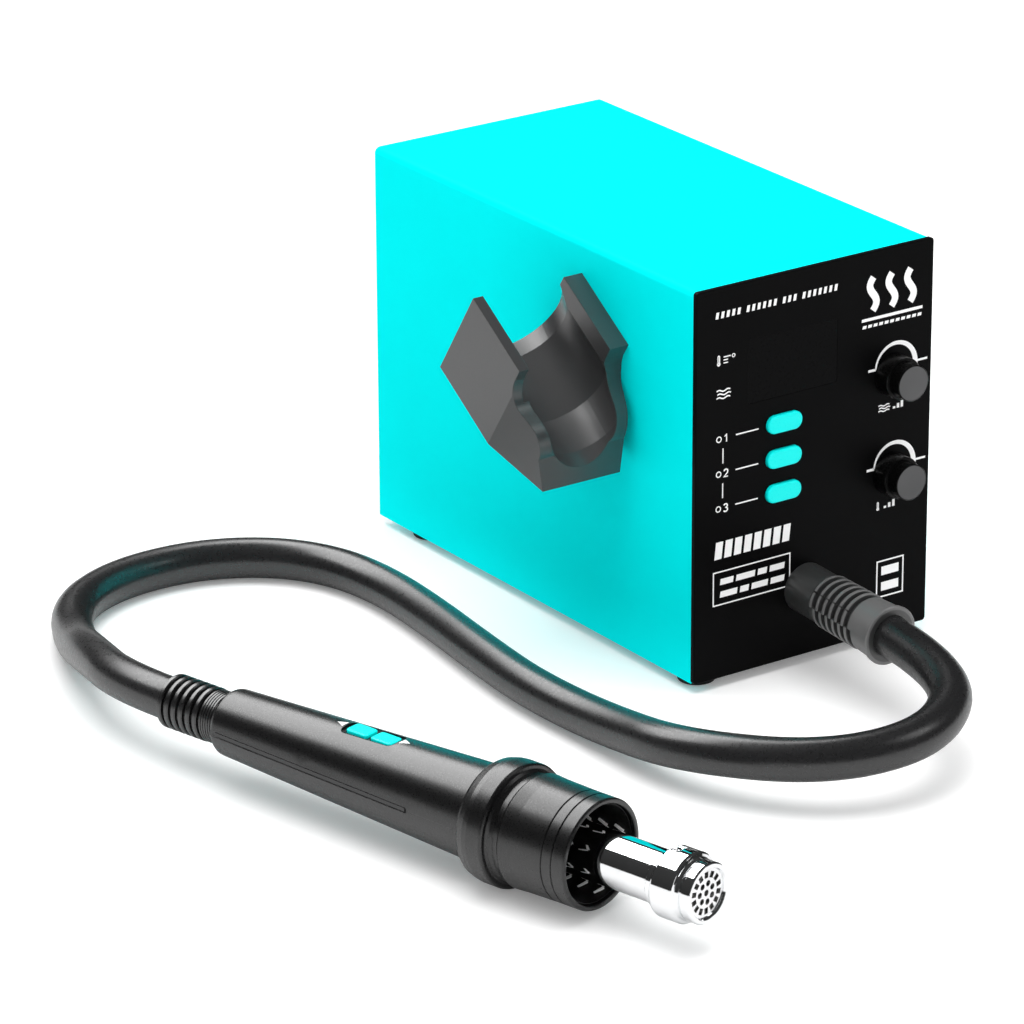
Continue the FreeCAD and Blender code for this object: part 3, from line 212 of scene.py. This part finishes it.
CYAN = (0.0, 0.92, 0.94)
M = {
    "cyan_paint": plastic("powder_coat_cyan", CYAN, 0.5, spec=0.004, grain=1700.0, bump=0.22, dist=0.00006, vary=0.015),
    "panel_black": plastic("panel_satin_black", (0.0026, 0.0026, 0.0028), 0.42, spec=0.035, grain=2600.0, bump=0.12, dist=0.00003, edge=0.0004),
    "smoked_window": plastic("smoked_window", (0.0022, 0.0022, 0.0024), 0.3, spec=0.04, grain=700.0, bump=0.02),
    "zinc_steel": brushed("zinc_sheet", (0.62, 0.63, 0.64), 0.34),
    "black_steel": plastic("rear_black_sheet", (0.02, 0.02, 0.021), 0.5, spec=0.3, grain=1500.0, bump=0.25, dist=0.00006),
    "screw_steel": brushed("screw_steel", (0.5, 0.5, 0.51), 0.3),
    "foot_rubber": plastic("foot_rubber", (0.014, 0.014, 0.014), 0.7, spec=0.3, grain=900.0, bump=0.3, dist=0.00008),
    "pcb_green": plastic("board_green", (0.02, 0.16, 0.06), 0.4, grain=500.0),
    "component_black": plastic("component_black", (0.03, 0.03, 0.03), 0.45),
    "led_module": plastic("display_module", (0.05, 0.02, 0.02), 0.35),
    "cyan_button": plastic("button_cyan", (0.0, 0.9, 0.86), 0.3, spec=0.2, grain=1500.0, bump=0.05, vary=0.03, edge=0.0007),
    "knob_black": plastic("knob_black", (0.002, 0.002, 0.002), 0.3, spec=0.16, grain=1200.0, bump=0.08, edge=0.0004),
    "knob_grey": plastic("knob_face_grey", (0.085, 0.085, 0.087), 0.55, spec=0.2, grain=1800.0, bump=0.12, edge=0.0003),
    "shaft_steel": brushed("shaft_steel", (0.6, 0.6, 0.6), 0.25),
    "blower_plastic": plastic("blower_black", (0.04, 0.04, 0.04), 0.55),
    "impeller_plastic": plastic("impeller_white", (0.7, 0.7, 0.68), 0.45),
    "motor_steel": brushed("motor_can", (0.55, 0.55, 0.56), 0.3),
    "fitting_black": plastic("fitting_black", (0.012, 0.012, 0.012), 0.35),
    "boot_rubber": plastic("boot_rubber_gloss", (0.003, 0.003, 0.0032), 0.3, spec=1.0, grain=800.0, bump=0.01, dist=0.00002, edge=0.0003),
    "hose_rubber": plastic("hose_rubber", (0.01, 0.01, 0.0105), 0.3, spec=0.75, grain=650.0, bump=0.004, dist=0.00002, vary=0.1),
    "cradle_plastic": plastic("cradle_charcoal", (0.03, 0.03, 0.031), 0.34, spec=0.9, grain=1300.0, bump=0.08, dist=0.00004, vary=0.08, edge=0.0005),
    "inlet_plastic": plastic("inlet_black", (0.012, 0.012, 0.012), 0.35),
    "pin_brass": brushed("pin_brass", (0.78, 0.66, 0.4), 0.25),
    "rocker_red": plastic("rocker_red", (0.35, 0.02, 0.02), 0.25, edge=0.0004),
    "laminated_steel": brushed("core_laminations", (0.35, 0.34, 0.33), 0.45),
    "winding_tape": plastic("winding_tape", (0.65, 0.5, 0.12), 0.4),
    "grip_plastic": plastic("grip_satin_black", (0.0015, 0.0015, 0.0017), 0.3, spec=0.75, grain=1500.0, bump=0.004, dist=0.00004, edge=0.0004),
    "inlay_gloss": plastic("inlay_gloss", (0.004, 0.004, 0.0045), 0.12, spec=0.6, grain=900.0, bump=0.02, edge=0.0003),
    "shroud_plastic": plastic("shroud_satin_black", (0.0015, 0.0015, 0.0017), 0.3, spec=0.75, grain=1500.0, bump=0.004, dist=0.00004, edge=0.0004),
    "perforated_steel": brushed("perforated_plate", (0.9, 0.9, 0.91), 0.16),
    "ceramic_white": plastic("heater_ceramic", (0.8, 0.78, 0.72), 0.6),
    "thermocouple_steel": brushed("probe_steel", (0.5, 0.5, 0.5), 0.3),
}


def chrome(name):
    k = Nodes(name)
    smear = k.noise(60.0, 4.0, 0.6)
    k.link(k.ramp(smear, (0.84, 0.85, 0.86), (0.93, 0.94, 0.95)), k.b.inputs["Base Color"])
    k.link(k.span(k.noise(900.0, 3.0), 0.03, 0.08), k.b.inputs["Roughness"])
    k.set(Metallic=1.0)
    k.bump(smear, 0.02, 0.0001, k.bevel(0.0004))
    return k.m


M["chrome_tube"] = chrome("nozzle_chrome")


def guide_painted_rib_glint(name):
    """Black liner whose raised V ribs are painted near-white, a painted highlight standing in for the light they catch:
    told apart by their distance from the handpiece axis.
    """
    k = Nodes(name)
    a = math.radians(-75.83)
    axis = (math.cos(a), math.sin(a), 0.0)

    def vm(op, x, y):
        n = k.t.nodes.new("ShaderNodeVectorMath")
        n.operation = op
        k.link(x, n.inputs[0])
        if isinstance(y, tuple):
            n.inputs[1].default_value = y
        else:
            k.link(y, n.inputs[1])
        return n

    def less(x, v, op="LESS_THAN"):
        n = k.t.nodes.new("ShaderNodeMath")
        n.operation = op
        k.link(x, n.inputs[0])
        n.inputs[1].default_value = v
        return n.outputs["Value"]

    rel = vm("SUBTRACT", k.co, (-0.2298, -0.28576, 0.027)).outputs["Vector"]
    along = vm("DOT_PRODUCT", rel, axis).outputs["Value"]
    off = vm("CROSS_PRODUCT", rel, axis).outputs["Vector"]
    n = k.t.nodes.new("ShaderNodeVectorMath")
    n.operation = "LENGTH"
    k.link(off, n.inputs[0])
    inner = less(n.outputs["Value"], 0.0206)
    front = less(along, -0.0275, "GREATER_THAN")
    rib_glint_mask = k.t.nodes.new("ShaderNodeMath")
    rib_glint_mask.operation = "MULTIPLY"
    k.link(inner, rib_glint_mask.inputs[0])
    k.link(front, rib_glint_mask.inputs[1])
    wear = k.noise(900.0)
    # painted highlight: the V ribs get a near-white, non-metal colour in place of the light they catch in the dark cup
    painted_rib_glint = k.ramp(wear, (0.86, 0.86, 0.86), (0.95, 0.95, 0.95))
    mixer = k.t.nodes.new("ShaderNodeMix")
    mixer.data_type = "RGBA"
    k.link(rib_glint_mask.outputs["Value"], mixer.inputs["Factor"])
    mixer.inputs["A"].default_value = (0.004, 0.004, 0.004, 1)
    for s in mixer.inputs:
        if s.type == "RGBA" and s.name == "A":
            s.default_value = (0.004, 0.004, 0.004, 1)
        if s.type == "RGBA" and s.name == "B":
            k.link(painted_rib_glint, s)
    k.link([s for s in mixer.outputs if s.type == "RGBA"][0], k.b.inputs["Base Color"])
    k.link(k.span(wear, 0.4, 0.5), k.b.inputs["Roughness"])
    k.b.inputs["Specular IOR Level"].default_value = 0.2
    k.bump(wear, 0.05, 0.00003)
    return k.m


def ringed_painted_highlight(name):
    """Satin rubber whose raised rings are painted lighter, a painted highlight standing in for the light they catch:
    told apart by their distance from the boot's axis.
    """
    k = Nodes(name)
    a = math.radians(2.5)
    rel = k.t.nodes.new("ShaderNodeVectorMath")
    rel.operation = "SUBTRACT"
    k.link(k.co, rel.inputs[0])
    rel.inputs[1].default_value = (-0.0041, -0.1263, 0.0374)
    off = k.t.nodes.new("ShaderNodeVectorMath")
    off.operation = "CROSS_PRODUCT"
    k.link(rel.outputs["Vector"], off.inputs[0])
    off.inputs[1].default_value = (0.0, -math.cos(a), -math.sin(a))
    n = k.t.nodes.new("ShaderNodeVectorMath")
    n.operation = "LENGTH"
    k.link(off.outputs["Vector"], n.inputs[0])
    ring_highlight_mask = k.t.nodes.new("ShaderNodeMapRange")
    ring_highlight_mask.inputs["From Min"].default_value = 0.0118
    ring_highlight_mask.inputs["From Max"].default_value = 0.0127
    k.link(n.outputs["Value"], ring_highlight_mask.inputs["Value"])
    # painted highlight: the raised rings get a lighter grey than the rubber body
    k.link(k.ramp(ring_highlight_mask.outputs["Result"], (0.03, 0.031, 0.031), (0.13, 0.13, 0.13)), k.b.inputs["Base Color"])
    wear = k.noise(800.0)
    k.link(k.span(wear, 0.34, 0.42), k.b.inputs["Roughness"])
    k.b.inputs["Specular IOR Level"].default_value = 0.9
    k.bump(wear, 0.02, 0.00002)
    return k.m


GUIDE = guide_painted_rib_glint("air_guide_black")
BASE_BOOT = ringed_painted_highlight("station_boot_painted_ring_highlight")
OWN = {"shroud_louvres": GUIDE, "station_hose_boot": BASE_BOOT}

slot_of = {s["node"]: s["material_slot"] for s in frame["record"]["subparts"]}
for n, o in nodes.items():
    o.data.materials.clear()
    o.data.materials.append(OWN.get(n, M[slot_of[n]]))
hose_data.materials.append(M["hose_rubber"])

# white print colour, also used for the painted highlight strokes below the knobs
k = Nodes("ink_and_painted_glint_white")
wear = k.noise(2200.0, 3.0)
k.link(k.ramp(wear, (0.93, 0.93, 0.93), (0.98, 0.98, 0.98)), k.b.inputs["Base Color"])
k.link(k.span(wear, 0.5, 0.62), k.b.inputs["Roughness"])
k.bump(wear, 0.1, 0.00002)
INK_AND_PAINTED_GLINT = k.m

# ------------------------------------------------------------------ printed marks (generic shapes, no lettering but digits), with a painted highlight below each knob
YF = -126.3


class Print:
    """Flat shapes on the panel face, in millimetres of x and z, each a thin closed slab."""

    def __init__(self, y0=YF - 0.01, y1=YF - 0.07):
        self.v, self.f, self.y0, self.y1 = [], [], y0, y1

    def strip(self, left, right, closed=False):
        n, base = len(left), len(self.v)
        for (a, b), (c, d) in zip(left, right):
            for y in (self.y0, self.y1):
                self.v += [(a, y, b), (c, y, d)]
        seg = range(n if closed else n - 1)
        for i in seg:
            p, q = base + 4 * i, base + 4 * ((i + 1) % n)
            self.f += [(p + 2, p + 3, q + 3, q + 2), (p, q, q + 1, p + 1), (p, p + 2, q + 2, q), (p + 1, q + 1, q + 3, p + 3)]
        if not closed:
            p, q = base, base + 4 * (n - 1)
            self.f += [(p, p + 1, p + 3, p + 2), (q, q + 2, q + 3, q + 1)]

    def stroke(self, pts, w, closed=False):
        n, L, R = len(pts), [], []
        for i, (x, z) in enumerate(pts):
            a = Vector(pts[i - 1]) if (i or closed) else None
            b = Vector(pts[(i + 1) % n]) if (i < n - 1 or closed) else None
            p = Vector((x, z))
            d0 = (p - a).normalized() if a is not None else None
            d1 = (b - p).normalized() if b is not None else None
            if d0 is None or d1 is None:
                d = d1 if d0 is None else d0
                m, s = Vector((-d.y, d.x)), 1.0
            else:
                n0, n1 = Vector((-d0.y, d0.x)), Vector((-d1.y, d1.x))
                m = n0 + n1
                m = m.normalized() if m.length > 1e-4 else n0
                s = min(1.6, 1 / max(0.2, m.dot(n0)))
            L.append(tuple(p + m * (w / 2 * s)))
            R.append(tuple(p - m * (w / 2 * s)))
        self.strip(L, R, closed)

    def bar(self, x0, x1, z0, z1, lean=0.0):
        self.strip([(x0, z0), (x0 + lean, z1)], [(x1, z0), (x1 + lean, z1)])

    def ring(self, x, z, r, w, n=40):
        self.stroke([(x + r * math.cos(2 * math.pi * i / n), z + r * math.sin(2 * math.pi * i / n)) for i in range(n)], w, True)

    def make(self, name, body="station", mat=None):
        me = bpy.data.meshes.new(name)
        me.from_pydata([tuple(c * MM for c in p) for p in self.v], [], self.f)
        bm = bmesh.new()
        bm.from_mesh(me)
        bmesh.ops.recalc_face_normals(bm, faces=bm.faces)
        bm.to_mesh(me)
        bm.free()
        me.materials.append(mat or INK_AND_PAINTED_GLINT)
        o = bpy.data.objects.new(name, me)
        scene.collection.objects.link(o)
        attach(o, body)
        return o


def wave(x0, z0, length, amp, n=28, cycles=1.5, upright=False):
    pts = []
    for i in range(n + 1):
        t = i / n
        a, b = t * length, amp * math.sin(2 * math.pi * cycles * t)
        pts.append((x0 + b, z0 + a) if upright else (x0 + a, z0 + b))
    return pts


DIGITS = {
    1: [(-0.42, 0.74), (0.08, 1.0), (0.08, 0.0)],
    2: [(-0.5, 0.78), (-0.38, 0.93), (-0.12, 1.0), (0.18, 0.99), (0.42, 0.88), (0.48, 0.7), (0.38, 0.5), (-0.5, 0.02), (0.52, 0.02)],
    3: [(-0.48, 0.86), (-0.22, 1.0), (0.2, 1.0), (0.45, 0.86), (0.43, 0.64), (0.05, 0.53), (0.48, 0.38), (0.5, 0.15), (0.2, 0.0), (-0.24, 0.0), (-0.5, 0.14)],
}


def arc(cx, cz, r, a0, a1, n):
    return [(cx + r * math.cos(math.radians(a0 + (a1 - a0) * i / n)), cz + r * math.sin(math.radians(a0 + (a1 - a0) * i / n))) for i in range(n + 1)]


def thermometer(p, x, z, h, w=0.5):
    r = h * 0.17
    p.stroke([(x - r * 0.55, z + r * 1.6), (x - r * 0.55, z + h - r * 0.55), (x - r * 0.2, z + h), (x + r * 0.2, z + h), (x + r * 0.55, z + h - r * 0.55), (x + r * 0.55, z + r * 1.6)], w * 0.8)
    p.ring(x, z + r, r * 0.75, r * 0.9, 24)


def breeze(p, x, z, w, h, s=0.5):
    for i in range(3):
        p.stroke(wave(x + (0.4 if i == 1 else 0.0), z + h * i / 2, w, h * 0.11), s)


ink_and_glint = Print()
# row names at the left edge: thermometer and breeze symbols
thermometer(ink_and_glint, -53.4, 152.8, 4.6, 0.6)
for i in range(3):
    ink_and_glint.bar(-50.8, -48.4 + (1.4 if i == 2 else 0), 153.4 + i * 1.4, 153.9 + i * 1.4)
ink_and_glint.ring(-45.4, 156.2, 0.75, 0.4, 20)
breeze(ink_and_glint, -54.4, 137.6, 7.4, 3.4, 0.6)
# channel numbers, leader lines and the bars between them
for i, z in enumerate((118.4, 102.0, 85.6)):
    ink_and_glint.ring(-52.9, z, 1.25, 0.5, 24)
    ink_and_glint.stroke([(-48.9 + a * 2.1, z - 1.75 + b * 3.5) for a, b in DIGITS[i + 1]], 0.62)
    ink_and_glint.bar(-43.6, -31.2, z + 0.05, z + 0.65)
    if i < 2:
        ink_and_glint.bar(-50.9, -50.35, z - 11.6, z - 4.6)
# dials, each with a painted highlight stroke below the knob
for cx, cz in ((45.0, 131.8), (45.2, 84.3)):
    outer, inner = [], []
    for i in range(49):
        t = i / 48
        a = math.radians(176 - t * 180)
        w = 0.8 + 2.0 * t
        outer.append((cx + (11.2 + w / 2) * math.cos(a), cz + (11.2 + w / 2) * math.sin(a)))
        inner.append((cx + (11.2 - w / 2) * math.cos(a), cz + (11.2 - w / 2) * math.sin(a)))
    ink_and_glint.strip(outer, inner)
    ink_and_glint.bar(cx - 15.4, cx - 11.2, cz + 0.1, cz + 1.3)
    ink_and_glint.bar(cx + 12.6, cx + 18.0, cz - 0.1, cz + 0.9)
    # painted highlight: a short white stroke on the panel below the knob stands in for the glint on the knob skirt's
    # lower rim
    ink_and_glint.stroke([(cx - 1.4, cz - 12.7), (cx + 3.0, cz - 16.6)], 0.6)
breeze(ink_and_glint, 35.8, 112.0, 6.2, 2.6, 0.55)
thermometer(ink_and_glint, 36.6, 64.6, 3.8, 0.55)
for i in range(3):
    ink_and_glint.bar(44.0 + i * 2.2, 45.4 + i * 2.2, 111.8, 112.9 + i * 1.1)
    ink_and_glint.bar(40.0 + i * 2.4, 41.4 + i * 2.4, 64.9, 66.0 + i * 1.1)
# strip of slanted ticks across the top
x = -55.4
for group in (5, 6, 3, 7):
    for j in range(group):
        ink_and_glint.bar(x, x + 1.5, 174.6, 177.6, 0.5)
        x += 2.95
    x += 2.0
# emblem at the top right: three heat waves over two rules
for i in range(3):
    ink_and_glint.stroke(wave(31.5 + i * 10.5, 161.0, 15.6, 1.9, cycles=1.0, upright=True), 3.6)
ink_and_glint.bar(25.4, 59.6, 156.4, 157.8)
for i in range(11):
    ink_and_glint.bar(25.8 + i * 3.1, 27.9 + i * 3.1, 153.2, 154.6, 0.3)
# level blocks and framed panel at the lower left
for i in range(8):
    ink_and_glint.bar(-54.8 + i * 5.35, -50.9 + i * 5.35, 61.8, 69.9, 0.9)
ink_and_glint.stroke([(-55.2, 39.9), (-12.8, 39.9), (-12.8, 55.6), (-55.2, 55.6)], 0.6, True)
for z, row in ((49.2, (7.2, 10.4, 5.0, 8.2)), (43.2, (9.4, 4.8, 9.0, 7.6))):
    x = -51.6
    for w in row:
        ink_and_glint.bar(x, x + w, z, z + 2.9, 0.4)
        x += w + 1.6
# small framed mark at the lower right
ink_and_glint.stroke([(36.9, 22.0), (51.8, 22.0), (51.8, 39.4), (36.9, 39.4)], 0.7, True)
ink_and_glint.bar(39.4, 49.3, 32.4, 36.6)
ink_and_glint.bar(39.4, 49.3, 24.8, 29.0)
marks = ink_and_glint.make("panel_marks")

# ------------------------------------------------------------------ handpiece marks, in the handpiece's own axes
ANG = math.radians(-75.83)
HP = Matrix.Translation(Vector((-229.8, -285.76, 27.0))) @ Matrix.Rotation(ANG, 4, "Z")


def grip_r(s):
    return 15.0 + (s + 205.0) * 6.0 / 143.0


def arrow(name, s_base, s_tip, half):
    """A printed triangle that hugs the tapered grip."""
    v, f = [], []
    cols, rows = 8, 6
    for top in (0, 1):
        for i in range(rows + 1):
            t = i / rows * 0.97
            s = s_base + (s_tip - s_base) * t
            for j in range(cols + 1):
                y = half * (1 - t) * (2 * j / cols - 1)
                r = grip_r(s) + (0.06 if top else -0.05)
                v.append(HP @ Vector((s, y, math.sqrt(r * r - y * y))))
    n = (rows + 1) * (cols + 1)

    def at(top, i, j):
        return top * n + i * (cols + 1) + j

    for i in range(rows):
        for j in range(cols):
            f.append((at(1, i, j), at(1, i, j + 1), at(1, i + 1, j + 1), at(1, i + 1, j)))
            f.append((at(0, i, j), at(0, i + 1, j), at(0, i + 1, j + 1), at(0, i, j + 1)))
    for i in range(rows):
        for j in (0, cols):
            f.append((at(0, i, j), at(1, i, j), at(1, i + 1, j), at(0, i + 1, j)))
    for j in range(cols):
        for i in (0, rows):
            f.append((at(0, i, j), at(0, i, j + 1), at(1, i, j + 1), at(1, i, j)))
    me = bpy.data.meshes.new(name)
    me.from_pydata([tuple(c * MM for c in p) for p in v], [], f)
    bm = bmesh.new()
    bm.from_mesh(me)
    bmesh.ops.recalc_face_normals(bm, faces=bm.faces)
    bm.to_mesh(me)
    bm.free()
    me.materials.append(INK_AND_PAINTED_GLINT)
    o = bpy.data.objects.new(name, me)
    scene.collection.objects.link(o)
    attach(o, "handpiece")
    return o


arrow("arrow_rear", -140.6, -145.2, 2.3)
arrow("arrow_front", -108.7, -104.1, 2.3)

# ------------------------------------------------------------------ hose boot on the handpiece, a copy of the CAD part with its own material
boot = bpy.data.objects.new("handle_boot_rubber", nodes["handle_hose_boot"].data.copy())
scene.collection.objects.link(boot)
boot.data.materials.clear()
boot.data.materials.append(M["boot_rubber"])
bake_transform(boot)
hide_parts("handle_hose_boot")

# ------------------------------------------------------------------ studio
def plane(name, centre, size, rot=(0, 0, 0)):
    me = bpy.data.meshes.new(name)
    a, b = size[0] / 2, size[1] / 2
    me.from_pydata([(-a, -b, 0), (a, -b, 0), (a, b, 0), (-a, b, 0)], [], [(0, 1, 2, 3)])
    o = bpy.data.objects.new(name, me)
    o.location, o.rotation_euler = centre, rot
    scene.collection.objects.link(o)
    return o


floor = plane("floor", (0, 0, -0.0003), (16.0, 16.0))
k = Nodes("floor_white")
k.link(k.ramp(k.noise(3.0), (0.93, 0.93, 0.93), (0.95, 0.95, 0.95)), k.b.inputs["Base Color"])
k.set(Roughness=0.9)
k.b.inputs["Specular IOR Level"].default_value = 0.0
seen = k.t.nodes.new("ShaderNodeLightPath").outputs["Is Camera Ray"]
lift = k.t.nodes.new("ShaderNodeMath")
lift.operation = "MULTIPLY"
k.link(seen, lift.inputs[0])
lift.inputs[1].default_value = 0.16
k.b.inputs["Emission Color"].default_value = (1, 1, 1, 1)
k.link(lift.outputs["Value"], k.b.inputs["Emission Strength"])
floor.data.materials.append(k.m)
floor.visible_glossy = False
dim = plane("floor_in_reflections", (0, 0, -0.0001), (16.0, 16.0))
k = Nodes("floor_grey")
k.link(k.ramp(k.noise(3.0), (0.78, 0.78, 0.78), (0.82, 0.82, 0.82)), k.b.inputs["Base Color"])
k.set(Roughness=0.9)
dim.data.materials.append(k.m)
dim.visible_camera = dim.visible_diffuse = dim.visible_shadow = dim.visible_transmission = False


def area(name, loc, look, size, power, size_y=None):
    l = bpy.data.lights.new(name, "AREA")
    l.shape = "RECTANGLE"
    l.size, l.size_y = size, size_y or size
    l.energy = power
    o = bpy.data.objects.new(name, l)
    o.location = loc
    o.rotation_euler = (Vector(look) - Vector(loc)).to_track_quat("-Z", "Y").to_euler()
    scene.collection.objects.link(o)
    return o


top = area("top_soft", (-0.25, 0.0, 2.0), (-0.1, -0.05, 0), 1.9, 34.0)
top.visible_glossy = False
key = area("key_left", (-1.1, -0.9, 0.2), (-0.1, -0.05, 0.08), 0.7, 0.95)
key.visible_glossy = False
fill = area("front_fill", (-0.3, -2.2, 0.8), (0.0, -0.12, 0.1), 1.4, 10.0)
fill.visible_glossy = False
back_box = area("back_gloss", (-0.4, 1.6, 2.0), (-0.2, -0.1, 0.03), 2.8, 78.0, 1.4)
back_box.visible_diffuse = False
right_box = area("right_gloss", (1.4, -1.5, 1.9), (-0.1, -0.1, 0.03), 0.9, 6.5)
right_box.visible_diffuse = False

world = bpy.data.worlds.new("studio")
scene.world = world
world.use_nodes = True
wt = world.node_tree
wt.nodes.clear()
wo = wt.nodes.new("ShaderNodeOutputWorld")
bg = wt.nodes.new("ShaderNodeBackground")
tc = wt.nodes.new("ShaderNodeTexCoord")
sep = wt.nodes.new("ShaderNodeSeparateXYZ")


def sky(low, high, z1):
    rp = wt.nodes.new("ShaderNodeValToRGB")
    rp.color_ramp.elements[0].position = 0.02
    rp.color_ramp.elements[0].color = (low, low, low, 1)
    rp.color_ramp.elements[1].position = z1
    rp.color_ramp.elements[1].color = (high, high, high, 1)
    wt.links.new(sep.outputs["Z"], rp.inputs["Fac"])
    b = wt.nodes.new("ShaderNodeBackground")
    wt.links.new(rp.outputs["Color"], b.inputs["Color"])
    return b.outputs["Background"]


wt.nodes.remove(bg)
wt.links.new(tc.outputs["Generated"], sep.inputs["Vector"])
lp = wt.nodes.new("ShaderNodeLightPath")
pale = wt.nodes.new("ShaderNodeBackground")
pale.inputs["Color"].default_value = (1, 1, 1, 1)
mg = wt.nodes.new("ShaderNodeMixShader")
wt.links.new(lp.outputs["Is Glossy Ray"], mg.inputs["Fac"])
wt.links.new(sky(0.14, 0.95, 0.8), mg.inputs[1])
wt.links.new(sky(0.028, 0.04, 0.7), mg.inputs[2])
mx = wt.nodes.new("ShaderNodeMixShader")
wt.links.new(lp.outputs["Is Camera Ray"], mx.inputs["Fac"])
wt.links.new(mg.outputs["Shader"], mx.inputs[1])
wt.links.new(pale.outputs["Background"], mx.inputs[2])
wt.links.new(mx.outputs["Shader"], wo.inputs["Surface"])

# ------------------------------------------------------------------ final scene update
bpy.context.view_layer.update()
